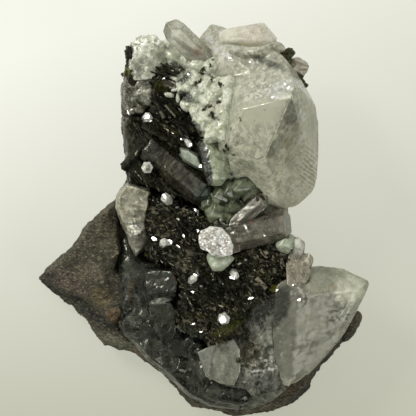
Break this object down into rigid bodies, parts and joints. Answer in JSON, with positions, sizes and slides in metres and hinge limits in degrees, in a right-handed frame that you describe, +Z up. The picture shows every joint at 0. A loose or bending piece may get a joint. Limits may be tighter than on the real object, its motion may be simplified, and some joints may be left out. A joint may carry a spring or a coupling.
{
  "type": "harlequin quartz mineral specimen",
  "caption": "Loose mineral specimen: clear, milky and red-flecked quartz crystals with pale green prehnite on dark bladed epidote, grown on a broken piece of basalt, lying on its flat back.",
  "frame": {"origin": "middle of the specimen's bounding box in plan, on the surface that it lies on", "axes": "+Z up, away from the surface; +Y along the specimen's length, from its foot towards the red-flecked crystal at its top end; +X to the right, towards the great clear crystal, with the wing of rock at -X"},
  "size_m": [0.0664, 0.0796, 0.034],
  "materials": {
    "basalt": "rough broken rock",
    "epidote": "glossy dark blades",
    "smoky_quartz": "glassy, dark and cloudy",
    "clear_quartz": "glassy and see-through",
    "milky_quartz": "glassy with a milky body",
    "red_flecked_quartz": "glassy with red flecks inside",
    "prehnite": "waxy and translucent"
  },
  "bodies": {
    "root": {"basalt_matrix": "basalt", "upper_epidote": "epidote", "lower_epidote": "epidote", "corner_epidote": "epidote", "side_epidote": "epidote", "rim_epidote": "epidote", "great_quartz": "clear_quartz", "low_middle_quartz": "clear_quartz", "ring_crystal": "clear_quartz", "glint_crystal_upper_left": "clear_quartz", "glint_crystal_blade": "clear_quartz", "glint_crystal_neck": "clear_quartz", "glint_crystal_left": "clear_quartz", "glint_crystal_right": "clear_quartz", "glint_crystal_low": "clear_quartz", "glint_crystal_centre": "clear_quartz", "red_flecked_crystal": "red_flecked_quartz", "pink_crystal": "red_flecked_quartz", "side_crystal": "red_flecked_quartz", "harlequin_crystals": "red_flecked_quartz", "fan_crystals": "red_flecked_quartz", "frosted_crystal": "milky_quartz", "milky_quartz": "milky_quartz", "pale_quartz": "milky_quartz", "left_quartz_vein": "milky_quartz", "corner_quartz": "milky_quartz", "left_edge_quartz": "milky_quartz", "smoky_crystal": "smoky_quartz", "low_left_quartz": "smoky_quartz", "prehnite_plate": "prehnite", "prehnite_wedge": "prehnite", "prehnite_crust": "prehnite", "prehnite_column": "prehnite", "prehnite_middle": "prehnite", "prehnite_knob_right": "prehnite", "prehnite_knob_centre": "prehnite"}
  },
  "joints": []
}
